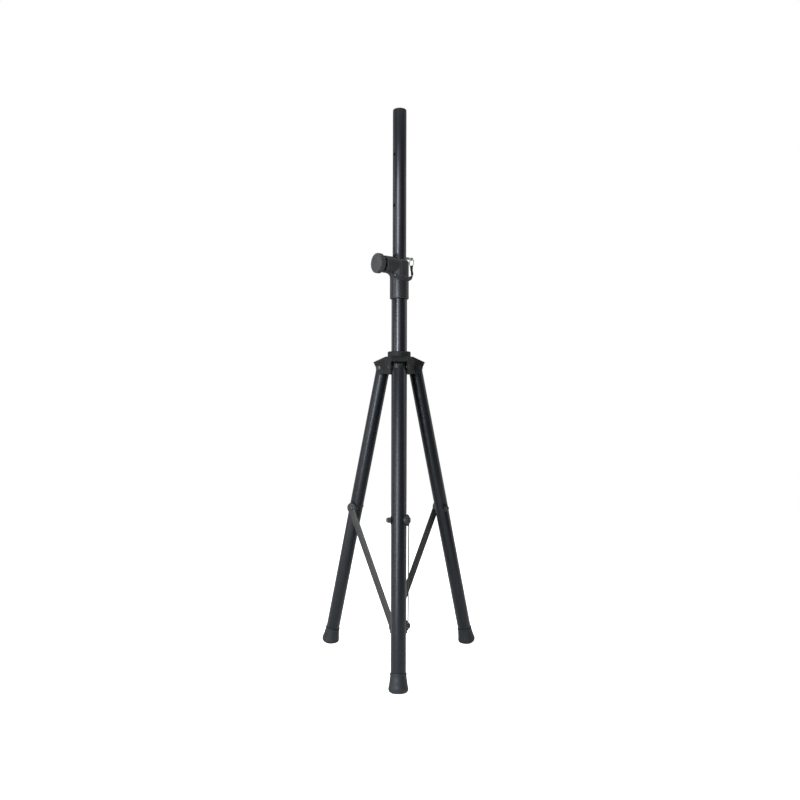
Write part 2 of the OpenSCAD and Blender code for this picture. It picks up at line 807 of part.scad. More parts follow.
lower_tube();
bottom_plug();
lower_collar();
strut_anchor_bolts();
strut_anchor_washers();
strut_anchor_nuts();
clamp_collar();
collar_liner();
collar_rivets();
clamp_insert();
lanyard();
lanyard_rivet();
clamp_pad();
clamp_screw();
clamp_knob();
upper_tube();
top_cap();
upper_tube_glide();
safety_pin();
pin_ring();
hub();
hub_pivot_bolts();
hub_pivot_nuts();
lock_insert();
lock_shoe();
lock_screw();
lock_knob();
leg_tube(FRONT);  // front_leg_tube
leg_plug(FRONT);  // front_leg_plug
foot(FRONT);  // front_foot
strut(FRONT);  // front_strut
strut_saddle(FRONT);  // front_strut_saddle
strut_bolt(FRONT);  // front_strut_bolt
strut_washer(FRONT);  // front_strut_washer
acorn_nut(FRONT);  // front_acorn_nut
leg_tube(RIGHT);  // right_leg_tube
leg_plug(RIGHT);  // right_leg_plug
foot(RIGHT);  // right_foot
strut(RIGHT);  // right_strut
strut_saddle(RIGHT);  // right_strut_saddle
strut_bolt(RIGHT);  // right_strut_bolt
strut_washer(RIGHT);  // right_strut_washer
acorn_nut(RIGHT);  // right_acorn_nut
leg_tube(LEFT);  // left_leg_tube
leg_plug(LEFT);  // left_leg_plug
foot(LEFT);  // left_foot
strut(LEFT);  // left_strut
strut_saddle(LEFT);  // left_strut_saddle
strut_bolt(LEFT);  // left_strut_bolt
strut_washer(LEFT);  // left_strut_washer
acorn_nut(LEFT);  // left_acorn_nut
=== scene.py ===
"""The looks of a speaker tripod stand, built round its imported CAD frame.

Metres, +Z up. The pole stands on the origin and the front leg points along -Y, towards the camera.
"""
import json
import math

import bmesh
import bpy
from mathutils import Matrix, Vector


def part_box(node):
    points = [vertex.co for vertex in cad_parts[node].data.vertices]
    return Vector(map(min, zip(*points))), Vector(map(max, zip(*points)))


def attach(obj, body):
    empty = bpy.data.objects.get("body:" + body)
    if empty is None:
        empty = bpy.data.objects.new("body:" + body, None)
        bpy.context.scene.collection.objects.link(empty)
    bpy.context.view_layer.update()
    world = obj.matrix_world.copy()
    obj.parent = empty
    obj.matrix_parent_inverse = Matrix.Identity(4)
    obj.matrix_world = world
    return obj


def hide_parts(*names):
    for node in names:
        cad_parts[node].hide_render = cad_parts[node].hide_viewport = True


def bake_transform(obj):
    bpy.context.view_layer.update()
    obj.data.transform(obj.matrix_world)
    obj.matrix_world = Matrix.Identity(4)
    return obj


MM = 0.001
LEGS = ("front", "right", "left")

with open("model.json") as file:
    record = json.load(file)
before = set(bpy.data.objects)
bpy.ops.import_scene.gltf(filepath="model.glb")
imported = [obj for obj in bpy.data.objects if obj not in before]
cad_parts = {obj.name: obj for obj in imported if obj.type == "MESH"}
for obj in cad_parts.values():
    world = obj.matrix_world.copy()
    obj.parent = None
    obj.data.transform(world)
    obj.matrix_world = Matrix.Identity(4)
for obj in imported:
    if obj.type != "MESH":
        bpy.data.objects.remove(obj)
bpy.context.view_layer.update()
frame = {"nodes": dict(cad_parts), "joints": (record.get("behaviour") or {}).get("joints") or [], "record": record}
joints = {joint["name"]: joint for joint in frame["joints"]}


def joint_line(name):
    """A point on a joint's axis and its direction. A slide has no point of its own, so it gets the origin."""
    joint = joints[name]
    return Vector(joint.get("pos_m") or (0, 0, 0)), Vector(joint["axis"]).normalized()


# ---------------------------------------------------------------- materials


# The colour sockets of a Mix node, which share their names with its number and vector sockets
COLOUR_A, COLOUR_B, COLOUR_RESULT = 6, 7, 2


class Graph:
    """A material's node tree. Each method adds one node and returns the socket that it puts out."""

    def __init__(self, name):
        self.material = bpy.data.materials.new(name)
        self.material.use_nodes = True
        self.tree = self.material.node_tree
        self.tree.nodes.clear()
        self.object_space = self.add("ShaderNodeTexCoord").outputs["Object"]

    def add(self, kind, settings=None, **inputs):
        node = self.tree.nodes.new(kind)
        for key, value in (settings or {}).items():
            setattr(node, key, value)
        for key, value in inputs.items():
            self.feed(node.inputs[key.replace("_", " ")], value)
        return node

    def feed(self, socket, value):
        if isinstance(value, bpy.types.NodeSocket):
            self.tree.links.new(value, socket)
        else:
            socket.default_value = value

    def stretched(self, scale):
        """Object coordinates scaled axis by axis, so that a pattern runs long where the scale is small."""
        node = self.add("ShaderNodeMapping")
        self.feed(node.inputs["Vector"], self.object_space)
        self.feed(node.inputs["Scale"], scale)
        return node.outputs["Vector"]

    def noise(self, scale, detail=3.0, roughness=0.5, vector=None):
        node = self.add("ShaderNodeTexNoise", Scale=scale, Detail=detail, Roughness=roughness)
        self.feed(node.inputs["Vector"], vector or self.object_space)
        return node.outputs["Fac"]

    def cells(self, scale):
        node = self.add("ShaderNodeTexVoronoi", Scale=scale)
        self.feed(node.inputs["Vector"], self.object_space)
        return node.outputs["Distance"]

    def remap(self, value, from_low, from_high, to_low, to_high):
        node = self.add("ShaderNodeMapRange", {"interpolation_type": "SMOOTHSTEP"})
        self.feed(node.inputs["Value"], value)
        self.feed(node.inputs["From Min"], from_low)
        self.feed(node.inputs["From Max"], from_high)
        self.feed(node.inputs["To Min"], to_low)
        self.feed(node.inputs["To Max"], to_high)
        return node.outputs["Result"]

    def math(self, operation, a, b=0.0):
        node = self.add("ShaderNodeMath", {"operation": operation})
        self.feed(node.inputs[0], a)
        self.feed(node.inputs[1], b)
        return node.outputs["Value"]

    def blend(self, factor, low, high):
        """The colour low where factor is 0 and high where it is 1."""
        node = self.add("ShaderNodeMix", {"data_type": "RGBA"})
        self.feed(node.inputs["Factor"], factor)
        self.feed(node.inputs[COLOUR_A], low)
        self.feed(node.inputs[COLOUR_B], high)
        return node.outputs[COLOUR_RESULT]

    def bump(self, height, distance, strength):
        node = self.add("ShaderNodeBump", Strength=strength, Distance=distance)
        self.feed(node.inputs["Height"], height)
        return node.outputs["Normal"]

    def edges(self, radius):
        """1 along edges and 0 on open faces, from how far a rounded normal leans from the true one."""
        samples, sharpness = 4, 6.0
        rounded = self.add("ShaderNodeBevel", {"samples": samples}, Radius=radius).outputs["Normal"]
        true = self.add("ShaderNodeNewGeometry").outputs["Normal"]
        node = self.add("ShaderNodeVectorMath", {"operation": "DOT_PRODUCT"})
        self.feed(node.inputs[0], rounded)
        self.feed(node.inputs[1], true)
        lean = self.math("SUBTRACT", 1.0, node.outputs["Value"])
        return self.math("MINIMUM", self.math("MULTIPLY", lean, sharpness), 1.0)

    def surface(self, **inputs):
        """Ends the tree with a Principled shader and returns the material."""
        shader = self.add("ShaderNodeBsdfPrincipled")
        for key, value in inputs.items():
            self.feed(shader.inputs[key.replace("_", " ")], value)
        out = self.add("ShaderNodeOutputMaterial")
        self.feed(out.inputs["Surface"], shader.outputs["BSDF"])
        return self.material


def grey(level, warmth=0.0):
    """A near-neutral colour; warmth above 0 leans to red and below 0 to blue."""
    return (level * (1 + warmth), level, level * (1 - warmth), 1.0)


def tube_paint(name, roughness, specular=0.5):
    """Blue-black paint: a faint orange peel, cloudy gloss, and hairline marks along the tube."""
    g = Graph(name)
    clouds = g.noise(14, detail=4)
    hairlines = g.noise(900, detail=2, vector=g.stretched((1, 1, 0.012)))
    marks = g.remap(hairlines, 0.62, 0.76, 0.0, 1.0)
    specks = g.remap(g.cells(420), 0.02, 0.08, 1.0, 0.0)
    colour = g.blend(clouds, (0.0046, 0.0052, 0.0074, 1), (0.0058, 0.0066, 0.0090, 1))
    colour = g.blend(g.math("MULTIPLY", marks, 0.18), colour, grey(0.03, -0.1))
    colour = g.blend(g.math("MULTIPLY", specks, 0.06), colour, grey(0.06))
    colour = g.blend(g.math("MULTIPLY", g.edges(0.5 * MM), 0.3), colour, grey(0.05, -0.05))
    gloss = g.remap(clouds, 0.3, 0.7, roughness - 0.015, roughness + 0.02)
    gloss = g.math("ADD", gloss, g.math("MULTIPLY", marks, 0.04))
    peel = g.bump(g.noise(500, detail=1), 0.0015 * MM, 0.4)
    return g.surface(Base_Color=colour, Roughness=gloss, Normal=peel, Specular_IOR_Level=specular)


def strut_paint(name):
    """Satin black paint on flat steel, with a fine grain and edges rubbed thin."""
    g = Graph(name)
    clouds = g.noise(30, detail=4)
    grain = g.noise(1600, detail=2)
    streaks = g.noise(240, detail=3, vector=g.stretched((1, 1, 0.06)))
    colour = g.blend(clouds, grey(0.015, 0.08), grey(0.023, 0.10))
    colour = g.blend(g.remap(streaks, 0.55, 0.8, 0.0, 0.3), colour, grey(0.035, 0.08))
    rubbed = g.math("MULTIPLY", g.edges(0.5 * MM), g.remap(g.noise(160, detail=4), 0.35, 0.65, 0.2, 1.0))
    colour = g.blend(g.math("MULTIPLY", rubbed, 0.4), colour, grey(0.10, 0.04))
    rough = g.remap(clouds, 0.3, 0.7, 0.38, 0.48)
    return g.surface(Base_Color=colour, Roughness=rough, Normal=g.bump(grain, 0.015 * MM, 0.5))


def moulded_plastic(name, level, roughness, grain_depth, smooth_below=None, specular=0.4):
    """Glass-filled nylon with an eroded mould grain, flow clouds and lighter edges.

    Below the height smooth_below, in metres, the mould was polished and the surface is glossier.
    """
    g = Graph(name)
    clouds = g.noise(45, detail=5, roughness=0.6)
    grain = g.noise(1500, detail=4, roughness=0.6)
    colour = g.blend(clouds, grey(level * 0.75, 0.03), grey(level * 1.25, 0.02))
    colour = g.blend(g.remap(grain, 0.55, 0.8, 0.0, 0.2), colour, grey(level * 1.8, 0.01))
    rubbed = g.math("MULTIPLY", g.edges(0.5 * MM), g.remap(g.noise(220, detail=3), 0.3, 0.7, 0.3, 1.0))
    colour = g.blend(g.math("MULTIPLY", rubbed, 0.35), colour, grey(level * 3.0, 0.02))
    rough = g.remap(clouds, 0.3, 0.7, roughness - 0.04, roughness + 0.05)
    rough = g.math("ADD", rough, g.math("MULTIPLY", grain, 0.06))
    strength = 0.6
    if smooth_below is not None:
        step = 1.5 * MM
        height = g.add("ShaderNodeSeparateXYZ", Vector=g.object_space).outputs["Z"]
        grained = g.remap(height, smooth_below - step, smooth_below + step, 0.0, 1.0)
        rough = g.math("SUBTRACT", rough, g.math("MULTIPLY", g.math("SUBTRACT", 1.0, grained), 0.20))
        strength = g.remap(grained, 0.0, 1.0, 0.12, strength)
    pitted = g.bump(grain, grain_depth, strength)
    return g.surface(Base_Color=colour, Roughness=rough, Normal=pitted, Specular_IOR_Level=specular)


def foot_rubber(name):
    """Moulded rubber: soft sheen, scuffs and a little floor dust that thickens towards the sole."""
    g = Graph(name)
    mottle = g.noise(120, detail=5, roughness=0.65)
    skin = g.noise(1500, detail=3)
    colour = g.blend(mottle, grey(0.0080, -0.15), grey(0.0140, -0.12))
    height = g.add("ShaderNodeSeparateXYZ", Vector=g.object_space).outputs["Z"]
    low = g.remap(height, 2 * MM, 22 * MM, 1.0, 0.0)
    dust = g.math("MULTIPLY", low, g.remap(g.noise(260, detail=6, roughness=0.7), 0.42, 0.68, 0.0, 1.0))
    colour = g.blend(g.math("MULTIPLY", dust, 0.25), colour, grey(0.08, 0.06))
    rough = g.remap(mottle, 0.3, 0.7, 0.50, 0.66)
    return g.surface(
        Base_Color=colour, Roughness=rough, Normal=g.bump(skin, 0.02 * MM, 0.6), Specular_IOR_Level=0.4
    )


def webbing(name):
    """Woven polyester strap. The attribute strap_uv holds millimetres along and across the strap."""
    g = Graph(name)
    place = g.add("ShaderNodeAttribute", {"attribute_name": "strap_uv"}).outputs["Vector"]
    parts = g.add("ShaderNodeSeparateXYZ", Vector=place)
    along, across = parts.outputs["X"], parts.outputs["Y"]
    weft_pitch, warp_pitch = 0.85, 0.62
    wave_along = g.math("SINE", g.math("MULTIPLY", along, math.tau / weft_pitch))
    wave_across = g.math("SINE", g.math("MULTIPLY", across, math.tau / warp_pitch))
    weave = g.math("ADD", g.math("MULTIPLY", g.math("MULTIPLY", wave_along, wave_across), 0.5), 0.5)
    fuzz = g.noise(2600, detail=3)
    colour = g.blend(weave, (0.0075, 0.0062, 0.0085, 1), (0.0190, 0.0160, 0.0205, 1))
    colour = g.blend(g.remap(fuzz, 0.5, 0.8, 0.0, 0.3), colour, grey(0.035))
    knit = g.bump(g.math("ADD", weave, g.math("MULTIPLY", fuzz, 0.4)), 0.10 * MM, 0.8)
    return g.surface(
        Base_Color=colour, Roughness=0.75, Normal=knit,
        Sheen_Weight=0.15, Sheen_Roughness=0.4, Specular_IOR_Level=0.3,
    )


def sewing_thread(name):
    """Twisted thread, a little paler than the strap."""
    g = Graph(name)
    twist = g.noise(5200, detail=2)
    colour = g.blend(twist, grey(0.020), grey(0.055, 0.03))
    return g.surface(Base_Color=colour, Roughness=0.7, Normal=g.bump(twist, 0.05 * MM, 0.8))


def plated_steel(name, colour, roughness, metallic=1.0):
    """Plated steel with turning marks, a cloudy plate and edges where the plate is thin."""
    g = Graph(name)
    clouds = g.noise(160, detail=4)
    scratches = g.noise(1400, detail=2, vector=g.stretched((1, 0.08, 1)))
    bright = tuple(min(1.0, c * 1.3 + 0.015) for c in colour[:3]) + (1.0,)
    tint = g.blend(g.remap(clouds, 0.3, 0.7, 0.0, 0.5), colour, bright)
    tint = g.blend(g.math("MULTIPLY", g.edges(0.3 * MM), 0.4), tint, bright)
    rough = g.remap(clouds, 0.3, 0.7, roughness - 0.04, roughness + 0.06)
    rough = g.math("ADD", rough, g.math("MULTIPLY", scratches, 0.05))
    turned = g.bump(scratches, 0.005 * MM, 0.4)
    return g.surface(Base_Color=tint, Metallic=metallic, Roughness=rough, Normal=turned)


lower_paint = tube_paint("lower_tube_paint", 0.24)
upper_paint = tube_paint("tube_paint", 0.31)
leg_paint = tube_paint("leg_paint", 0.36, specular=0.34)
strut_black = strut_paint("strut_paint")
nylon = moulded_plastic("moulded_nylon", 0.0115, 0.52, 0.02 * MM)
strap_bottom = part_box("lanyard")[0].z
collar_nylon = moulded_plastic("collar_nylon", 0.0145, 0.54, 0.045 * MM, smooth_below=strap_bottom + 3 * MM)
hub_nylon = moulded_plastic("hub_nylon", 0.0080, 0.58, 0.05 * MM, specular=0.25)
knob_nylon = moulded_plastic("knob_nylon", 0.031, 0.44, 0.025 * MM)
plug_nylon = moulded_plastic("plug_nylon", 0.006, 0.30, 0.004 * MM)
rubber = foot_rubber("foot_rubber")
strap_weave = webbing("lanyard_webbing")
thread = sewing_thread("sewing_thread")
nickel = plated_steel("bright_nickel", (0.36, 0.36, 0.36, 1), 0.22)
black_plate = plated_steel("black_plate", (0.030, 0.030, 0.033, 1), 0.34, metallic=0.6)
brass = plated_steel("turned_brass", (0.62, 0.45, 0.19, 1), 0.28)

SLOT_FINISH = {
    "painted_tube": upper_paint,
    "painted_strut": strut_black,
    "moulded_plastic": nylon,
    "knob_plastic": knob_nylon,
    "rubber_foot": rubber,
    "lanyard_strap": strap_weave,
    "bright_steel": nickel,
    "black_steel": black_plate,
    "brass": brass,
}


def finish_cad_nodes():
    """Gives each CAD node the finish of its material slot, and a few of them a closer match of their own."""
    for part in frame["record"]["subparts"]:
        node = frame["nodes"][part["node"]]
        node.data.materials.clear()
        node.data.materials.append(SLOT_FINISH[part["material_slot"]])
    for node, finish in (("lower_tube", lower_paint), ("clamp_collar", collar_nylon), ("hub", hub_nylon)):
        frame["nodes"][node].data.materials[0] = finish
    for leg in LEGS:
        frame["nodes"][leg + "_leg_tube"].data.materials[0] = leg_paint
        frame["nodes"][leg + "_leg_plug"].data.materials[0] = plug_nylon


# ---------------------------------------------------------------- rounded edges on CAD nodes


def node_group(name):
    """A geometry node group with its input and output nodes."""
    group = bpy.data.node_groups.new(name, "GeometryNodeTree")
    group.interface.new_socket("Geometry", in_out="INPUT", socket_type="NodeSocketGeometry")
    group.interface.new_socket("Geometry", in_out="OUTPUT", socket_type="NodeSocketGeometry")
    return group, group.nodes.new("NodeGroupInput"), group.nodes.new("NodeGroupOutput")


# Degrees between two faces above which their edge is creased, and above which it is rounded
CREASE_ANGLE = 32
ROUNDED_ANGLE = 38


def weld_group():
    """Joins the doubled points of an imported mesh and drops its stored normals."""
    group, start, end = node_group("weld")
    merge = group.nodes.new("GeometryNodeMergeByDistance")
    merge.inputs["Distance"].default_value = 0.001 * MM
    drop = group.nodes.new("GeometryNodeRemoveAttribute")
    drop.inputs["Name"].default_value = "custom_normal"
    group.links.new(start.outputs[0], merge.inputs["Geometry"])
    group.links.new(merge.outputs["Geometry"], drop.inputs["Geometry"])
    group.links.new(drop.outputs["Geometry"], end.inputs[0])
    return group


def shade_group(degrees):
    """Smooth shading, with a crease along edges sharper than an angle."""
    group, start, end = node_group("shade_by_angle")
    faces = group.nodes.new("GeometryNodeSetShadeSmooth")
    faces.domain = "FACE"
    creases = group.nodes.new("GeometryNodeSetShadeSmooth")
    creases.domain = "EDGE"
    creases.inputs["Shade Smooth"].default_value = False
    angle = group.nodes.new("GeometryNodeInputMeshEdgeAngle")
    sharper = group.nodes.new("FunctionNodeCompare")
    sharper.data_type = "FLOAT"
    sharper.operation = "GREATER_THAN"
    sharper.inputs[1].default_value = math.radians(degrees)
    group.links.new(start.outputs[0], faces.inputs["Geometry"])
    group.links.new(faces.outputs["Geometry"], creases.inputs["Geometry"])
    group.links.new(angle.outputs["Unsigned Angle"], sharper.inputs[0])
    group.links.new(sharper.outputs["Result"], creases.inputs["Selection"])
    group.links.new(creases.outputs["Geometry"], end.inputs[0])
    return group


WELD = weld_group()
SHADE = shade_group(CREASE_ANGLE)


def round_edges(piece, width):
    """Rounds a piece's sharp edges with modifiers, which leave its mesh as it is."""
    weld = piece.modifiers.new("weld", "NODES")
    weld.node_group = WELD
    if width:
        bevel = piece.modifiers.new("round_edges", "BEVEL")
        bevel.width = width
        bevel.segments = 2
        bevel.limit_method = "ANGLE"
        bevel.angle_limit = math.radians(ROUNDED_ANGLE)
        bevel.use_clamp_overlap = False
    shade = piece.modifiers.new("shade", "NODES")
    shade.node_group = SHADE


EDGE_RADIUS = {
    "clamp_collar": 0.45,
    "hub": 0.35,
    "lower_collar": 0.5,
    "clamp_knob": 0.4,
    "lock_knob": 0.3,
    "top_cap": 0.3,
    "bottom_plug": 0.4,
}


def edge_radius(name):
    """Radius in millimetres to which a CAD node's edges are rounded."""
    if name in EDGE_RADIUS:
        return EDGE_RADIUS[name]
    if name.endswith(("bolt", "bolts", "nut", "nuts", "washer", "washers", "rivet", "rivets")):
        return 0.3
    if name.endswith("foot"):
        return 0.25
    if name.endswith("strut"):
        return 0.35
    if name.endswith("saddle"):
        return 0.4
    return 0.15


# ---------------------------------------------------------------- mesh helpers


def new_piece(name, verts, faces, material, body, slot):
    """A smooth mesh object with a finish. It rides on a CAD body, unless body is None."""
    mesh = bpy.data.meshes.new(name)
    mesh.from_pydata(verts, [], faces)
    mesh.update()
    mesh.materials.append(material)
    piece = bpy.data.objects.new(name, mesh)
    bpy.context.scene.collection.objects.link(piece)
    outward_normals(mesh)
    mesh.polygons.foreach_set("use_smooth", [True] * len(mesh.polygons))
    if body:
        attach(piece, body)
    return piece


def outward_normals(mesh):
    """Turns each closed shell of a mesh right side out."""
    shape = bmesh.new()
    shape.from_mesh(mesh)
    bmesh.ops.recalc_face_normals(shape, faces=shape.faces)
    shape.to_mesh(mesh)
    shape.free()


def grid_faces(rows, columns, close_rows=False):
    """Quads over rows of points that were listed row by row. Each row closes on itself."""
    faces = []
    for r in range(rows if close_rows else rows - 1):
        this_row, next_row = r * columns, (r + 1) % rows * columns
        for c in range(columns):
            after = (c + 1) % columns
            faces.append((this_row + c, this_row + after, next_row + after, next_row + c))
    return faces


def axis_frame(origin, axis):
    """Matrix whose Z runs along a level axis from origin, and whose X points straight up."""
    up = Vector((0, 0, 1))
    return Matrix.Translation(origin) @ Matrix((up, axis.cross(up), axis)).transposed().to_4x4()


def lathe(profile):
    """Points and faces of a turned solid.

    The profile is (radius, height) pairs from one end on the axis to the other.
    """
    segments = 48
    verts, faces = [], []
    inner = profile[1:-1]
    for radius, height in inner:
        for k in range(segments):
            a = math.tau * k / segments
            verts.append((radius * math.cos(a), radius * math.sin(a), height))
    faces += grid_faces(len(inner), segments)
    for height, row in ((profile[0][1], 0), (profile[-1][1], len(inner) - 1)):
        tip = len(verts)
        verts.append((0, 0, height))
        for k in range(segments):
            faces.append((row * segments + k, row * segments + (k + 1) % segments, tip))
    return verts, faces


def loft(sections, closed=False):
    """Points and faces through sections of equal length, capped at both ends unless it closes on itself."""
    columns = len(sections[0])
    verts = [point for section in sections for point in section]
    faces = grid_faces(len(sections), columns, close_rows=closed)
    if not closed:
        faces.append(tuple(range(columns)))
        faces.append(tuple(range(len(verts) - columns, len(verts))))
    return verts, faces


def joined(*parts):
    """One set of points and faces from several."""
    verts, faces = [], []
    for part_verts, part_faces in parts:
        faces += [tuple(len(verts) + index for index in face) for face in part_faces]
        verts += part_verts
    return verts, faces


def scaled(matrix, verts):
    """Points given in millimetres from a place, as points in metres in the scene."""
    return [tuple(matrix @ (Vector(v) * MM)) for v in verts]


def oval(half_a, half_b, squareness=2.0, points=20):
    """A rounded outline: an ellipse at squareness 2, and closer to a rectangle above it."""
    outline = []
    for k in range(points):
        c, s = math.cos(math.tau * k / points), math.sin(math.tau * k / points)
        a = math.copysign(abs(c) ** (2 / squareness), c)
        b = math.copysign(abs(s) ** (2 / squareness), s)
        outline.append((half_a * a, half_b * b))
    return outline


def smooth(t):
    """An easing curve from 0 at t = 0 to 1 at t = 1, level beyond both."""
    t = max(0.0, min(1.0, t))
    return t * t * (3 - 2 * t)


def body_with(node):
    """Name of the CAD body that a node belongs to."""
    bodies = frame["record"]["behaviour"]["bodies"]
    return next(body for body, nodes in bodies.items() if node in nodes)


# ---------------------------------------------------------------- safety pin and ring

pin_out = joint_line("pin_pull")[1]
ring_centre, ring_axis = joint_line("pin_ring_turn")
ring_low, ring_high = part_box("pin_ring")
pin_low, pin_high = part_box("safety_pin")
# Millimetres from here on, as the shapes below are written in them
pin_z = (pin_low.z + pin_high.z) / 2 / MM
ring_distance = ring_centre.xy.length / MM
ring_wire_r = 1.0
ring_r = (ring_high.z - ring_low.z) / 2 / MM - ring_wire_r


def safety_pin():
    """A turned pin with a rounded tip, which narrows to a flat cross-drilled eye."""
    pin_r = 3.5
    # Distances from the pole's axis: the tip lies past it, and the shoulder is where the neck starts
    tip, groove, shoulder = -13.0, 19.0, ring_distance - 9.0
    profile = [
        (0, tip), (1.0, tip + 0.1), (2.0, tip + 0.6), (2.8, tip + 1.5), (3.25, tip + 2.7), (pin_r, tip + 4.4),
        (pin_r, groove), (pin_r - 0.3, groove + 0.3), (pin_r - 0.3, groove + 1.2), (pin_r, groove + 1.5),
        (pin_r, shoulder - 0.6), (pin_r - 0.15, shoulder - 0.2), (pin_r - 0.5, shoulder), (0, shoulder),
    ]
    neck_start, neck_len, neck_steps = shoulder - 0.4, 6.6, 6
    neck = []
    for step in range(neck_steps + 1):
        t = step / neck_steps
        along = neck_start + t * neck_len
        tall, wide = pin_r - 0.1 - 0.9 * smooth(1.6 * t), pin_r - 0.1 - 1.45 * smooth(1.3 * t)
        neck.append([(a, b, along) for a, b in oval(tall, wide, 2.0 + 1.2 * t)])
    hole_r, eye_r, half_thick = 1.6, 4.0, 1.95
    middle, half = (eye_r + hole_r) / 2, (eye_r - hole_r) / 2
    eye_steps = 40
    eye = []
    for step in range(eye_steps):
        a = math.tau * step / eye_steps
        eye.append([
            ((middle + r) * math.cos(a), y, ring_distance + (middle + r) * math.sin(a))
            for r, y in oval(half, half_thick, 3.4)
        ])
    verts, faces = joined(lathe(profile), loft(neck), loft(eye, closed=True))
    pin_frame = axis_frame(Vector((0, 0, pin_z * MM)), pin_out)
    pin = new_piece("turned_pin", scaled(pin_frame, verts), faces, nickel, "safety_pin", "bright_steel")
    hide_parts("safety_pin")
    round_edges(pin, 0)


def split_ring():
    """A ring wound from two turns of flat wire, which cross from one side to the other over a short bend."""
    steps_per_turn = 90
    half_wide, half_thick = 0.94, 0.44
    shift = half_thick + 0.03
    bend = 0.05
    ends_at = math.radians(118)
    turns = []
    for step in range(2 * steps_per_turn - 2):
        turn = (step + 1) / steps_per_turn
        a = math.tau * turn + ends_at
        side = shift * (2 * smooth((turn - 1 + bend) / (2 * bend)) - 1)
        turns.append([
            ((ring_r + r) * math.cos(a), (ring_r + r) * math.sin(a), side + axial)
            for r, axial in oval(half_wide, half_thick, 3.0, 16)
        ])
    verts, faces = loft(turns)
    verts = scaled(axis_frame(ring_centre, ring_axis), verts)
    ring = new_piece("split_ring", verts, faces, nickel, "pin_ring", "bright_steel")
    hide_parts("pin_ring")
    round_edges(ring, 0)


# ---------------------------------------------------------------- lanyard

strap_w = 11.0
strap_t = 1.3
# Where the strap is folded through the ring: its width, its length, and how far the middle of each layer
# lies from the fold's own middle
fold_w = 8.2
fold_len = 11.0
layer_offset = strap_t / 2 + 0.03
wire_z = pin_z - 2 * ring_r


def azimuth_of(node):
    """Azimuth in degrees of the middle of a CAD node, seen from above."""
    low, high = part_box(node)
    middle = (low + high) / 2
    return math.degrees(math.atan2(middle.y, middle.x))


def middle_z(node):
    """Height in millimetres of the middle of a CAD node."""
    low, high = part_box(node)
    return (low.z + high.z) / 2 / MM


def strap_course():
    """Points along the middle of the strap with the direction its outer face points in and its width there.

    The strap starts behind the ring's lowest point, folds over the wire there, hangs down outside it and
    curves round the front of the collar to its rivet.
    """
    start = math.degrees(math.atan2(pin_out.y, pin_out.x))
    sweep_round = start - azimuth_of("lanyard_rivet")
    collar_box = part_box("clamp_collar")
    lie_r = collar_box[1].x / MM + 0.3 + strap_t / 2
    low_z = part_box("lanyard")[0].z / MM + strap_w / 2
    rivet_z = middle_z("lanyard_rivet")
    wrap_r = 0.96 + layer_offset
    up = Vector((0, 0, 1))

    def spot(azimuth, radius, z):
        a = math.radians(azimuth)
        return Vector((radius * math.cos(a), radius * math.sin(a), z))

    def opened(z):
        """How far a layer of the fold has parted, at z from the wire's middle, to pass round the wire."""
        parting = 7.5
        return layer_offset + (wrap_r - layer_offset) * smooth((z + parting) / parting)

    outwards = spot(start, 1, 0)
    course = []
    fold_steps = 9
    for step in range(fold_steps + 1):
        z = fold_len * (step / fold_steps - 1)
        course.append((spot(start, ring_distance - opened(z), wire_z + z), -outwards, fold_w))
    wrap_steps = 12
    for step in range(1, wrap_steps):
        a = math.pi * step / wrap_steps
        away = -outwards * math.cos(a) + up * math.sin(a)
        course.append((spot(start, ring_distance, wire_z) + away * wrap_r, away, fold_w))
    for step in range(fold_steps):
        z = -fold_len * step / fold_steps
        course.append((spot(start, ring_distance + opened(z), wire_z + z), outwards, fold_w))
    # The shares of the way from the fold to the rivet over which the strap does each thing
    swings_in, bulges, falls, rises_from, widens = 0.52, 0.42, 0.60, 0.72, 0.10
    bulge_depth = 2.6
    steps = 72
    top_z = wire_z - fold_len
    for step in range(steps + 1):
        u = step / steps
        azimuth = start - sweep_round * u * u * (2 - u)
        swing = (1 + math.cos(math.pi * min(1, u / swings_in))) / 2
        bulge = bulge_depth * math.sin(math.pi * min(1, u / bulges)) ** 2
        radius = lie_r + (ring_distance + layer_offset - lie_r) * swing + bulge
        fall = (top_z - low_z) * (1 - min(1, u / falls)) ** 2
        rise = (rivet_z - low_z) * (max(0, u - rises_from) / (1 - rises_from)) ** 2
        width = fold_w + (strap_w - fold_w) * smooth(u / widens)
        course.append((spot(azimuth, radius, low_z + fall + rise), spot(azimuth, 1, 0), width))
    past, end_steps = 4.0, 8
    slope = (course[-1][0] - course[-2][0]).normalized()
    for step in range(1, end_steps + 1):
        beyond = past * math.sin(math.pi / 2 * step / end_steps)
        azimuth = start - sweep_round - math.degrees(beyond / lie_r)
        z = rivet_z + beyond * slope.z
        width = max(0.8, strap_w * (1 - (beyond / past) ** 4) ** 0.5)
        course.append((spot(azimuth, lie_r, z), spot(azimuth, 1, 0), width))
    return course


def strap_sections(course):
    """For each point of the course: the outline in millimetres, and the matching places along and across."""
    across_points = 9
    sections, places = [], []
    run = 0.0
    for index, (middle, out, width) in enumerate(course):
        before, after = course[max(0, index - 1)][0], course[min(len(course) - 1, index + 1)][0]
        along = (after - before).normalized()
        side = along.cross(out).normalized()
        face = side.cross(along).normalized()
        if index:
            run += (middle - course[index - 1][0]).length
        flat = width / 2 - min(0.45 * strap_t, 0.3 * width)
        outline = []
        for sign in (1, -1):
            for k in range(across_points):
                outline.append((sign * flat * (2 * k / (across_points - 1) - 1), sign * strap_t / 2))
            outline.append((sign * width / 2, 0))
        sections.append([tuple(middle + side * a + face * b) for a, b in outline])
        places += [(run, a + 0.07 * run, 0) for a, b in outline]
    return sections, places


